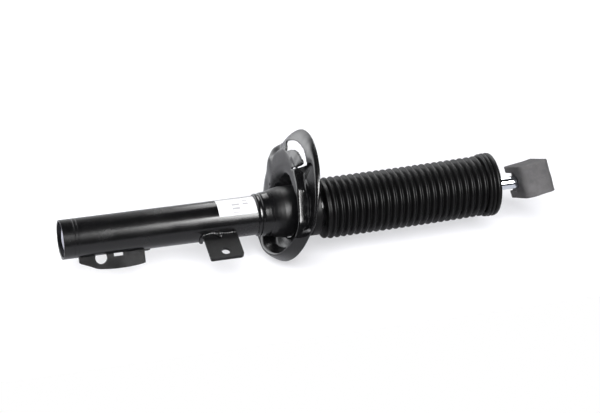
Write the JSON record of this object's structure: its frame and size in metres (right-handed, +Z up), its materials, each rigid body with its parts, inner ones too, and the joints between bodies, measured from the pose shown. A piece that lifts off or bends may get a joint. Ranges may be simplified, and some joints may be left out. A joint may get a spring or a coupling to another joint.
{
  "type": "suspension strut",
  "caption": "Suspension strut with a plain clamped lower tube, link bracket, tilted pressed spring seat, ribbed dust bellows and a chromed rod that slides in and turns.",
  "frame": {"origin": "centre of the tube's lower end, on the strut's axis", "axes": "+X along the strut towards the threaded end, +Z up as the strut lies on a surface"},
  "size_m": [0.7156, 0.1879, 0.1816],
  "materials": {
    "black_paint": "satin",
    "weld_bead": "gloss",
    "pale_steel": "satin",
    "bare_steel": "satin",
    "bronze": "satin",
    "seal_rubber": "matte",
    "boot_rubber": "satin",
    "stop_foam": "matte",
    "dark_band": "matte",
    "chromed_rod": "polished",
    "grey_foam": "matte",
    "white_label": "satin"
  },
  "bodies": {
    "tube": {"outer_tube": "black_paint", "base_cup": "pale_steel", "pressure_tube": "bare_steel", "base_valve_body": "bare_steel", "base_valve_discs": "bare_steel", "base_valve_rivet": "bare_steel", "rod_guide": "bare_steel", "guide_bushing": "bronze", "rod_seal": "seal_rubber", "seal_washer": "bare_steel", "bump_cap": "bare_steel", "seat_collar": "black_paint", "spring_seat": "black_paint", "link_bracket": "black_paint", "bracket_weld": "weld_bead", "locating_tab": "black_paint", "tab_weld": "weld_bead", "boot_foot": "boot_rubber", "bellows": "boot_rubber"},
    "boot_top": {"boot_ring": "boot_rubber", "bump_stop": "stop_foam"},
    "rod": {"piston_rod": "chromed_rod", "piston": "bare_steel", "piston_band": "dark_band", "compression_discs": "bare_steel", "rebound_discs": "bare_steel", "piston_nut": "bare_steel", "rebound_stop": "bare_steel", "rebound_bumper": "seal_rubber"},
    "protector": {"thread_protector": "grey_foam"}
  },
  "joints": [
    {"name": "rod_slide", "type": "slide", "parent": "tube", "child": "boot_top", "axis": [1, 0, 0], "range_m": [-0.16, 0], "stiffness_N_per_m": 60, "springref_m": 1, "deforming": ["bellows"]},
    {"name": "rod_spin", "type": "hinge", "parent": "boot_top", "child": "rod", "pos_m": [0, 0, 0], "axis": [1, 0, 0], "continuous": true},
    {"name": "protector_pull", "type": "slide", "parent": "rod", "child": "protector", "axis": [1, 0, 0], "range_m": [0, 0.06]}
  ]
}
